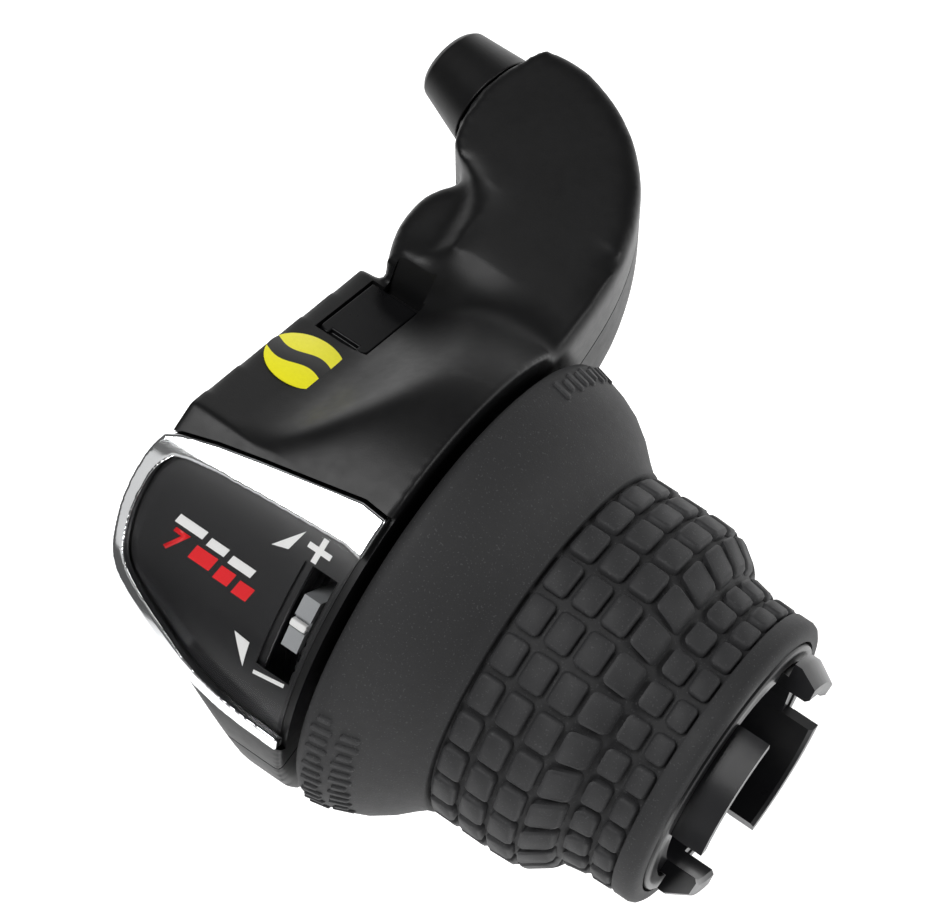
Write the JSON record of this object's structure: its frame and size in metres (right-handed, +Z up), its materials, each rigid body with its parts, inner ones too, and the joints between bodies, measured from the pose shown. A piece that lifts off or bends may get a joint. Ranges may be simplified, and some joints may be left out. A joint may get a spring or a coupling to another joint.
{
  "type": "twist grip shifter",
  "caption": "Right-hand twist-grip gear shifter for a flat handlebar, with a rubber grip, an indicator window and a side arm ending in a cable outlet.",
  "frame": {"origin": "middle of the handlebar bore on the inboard end plane", "axes": "+X outboard along the bar, +Y forward toward the cable arm, +Z up"},
  "size_m": [0.0722, 0.0793, 0.0544],
  "materials": {
    "upper_cover": "satin black moulding",
    "lower_cover": "satin black moulding",
    "access_cover": "gloss black moulding",
    "bracket_body": "semi-gloss black moulding",
    "clamp_bolt": "zinc plated",
    "clamp_nut": "zinc plated",
    "cover_screw_front": "zinc plated",
    "cover_screw_rear": "zinc plated",
    "bracket_screw": "zinc plated",
    "bezel": "mirror",
    "lens": "smoked clear, gloss",
    "dial_plate": "dark printed plate",
    "pointer_ring": "silver grey",
    "pointer_mark": "white",
    "twist_drum": "semi-gloss black",
    "index_ring": "natural acetal",
    "grip_rubber": "matte black rubber",
    "thrust_washer": "natural nylon",
    "detent_spring": "spring steel",
    "detent_roller": "polished steel",
    "cable_guide": "natural acetal",
    "cable_outlet": "satin black"
  },
  "bodies": {
    "bracket": {"bracket_body": "bracket_body", "clamp_bolt": "clamp_bolt", "clamp_nut": "clamp_nut", "upper_cover": "upper_cover", "lower_cover": "lower_cover", "cover_screw_front": "cover_screw_front", "cover_screw_rear": "cover_screw_rear", "bracket_screw": "bracket_screw", "bezel": "bezel", "lens": "lens", "dial_plate": "dial_plate", "thrust_washer": "thrust_washer", "detent_spring": "detent_spring", "detent_roller": "detent_roller", "cable_guide": "cable_guide", "cable_outlet": "cable_outlet"},
    "twist": {"twist_drum": "twist_drum", "index_ring": "index_ring", "grip_rubber": "grip_rubber"},
    "pointer": {"pointer_ring": "pointer_ring", "pointer_mark": "pointer_mark"},
    "lid": {"access_cover": "access_cover"}
  },
  "joints": [
    {"name": "twist_grip_turn", "type": "hinge", "parent": "bracket", "child": "twist", "pos_m": [0.04, 0, 0], "axis": [1, 0, 0], "range_deg": [-30, 30]},
    {"name": "pointer_turn", "type": "hinge", "parent": "bracket", "child": "pointer", "pos_m": [0.0205, 0, 0], "axis": [1, 0, 0], "range_deg": [-14.2, 14.2]},
    {"name": "access_cover_swing", "type": "hinge", "parent": "bracket", "child": "lid", "pos_m": [0.0051, 0.02057, 0.00473], "axis": [-1, 0, 0], "range_deg": [0, 95]}
  ],
  "couplings": [
    {"joint": "pointer_turn", "follows": "twist_grip_turn", "ratio": 0.46}
  ]
}
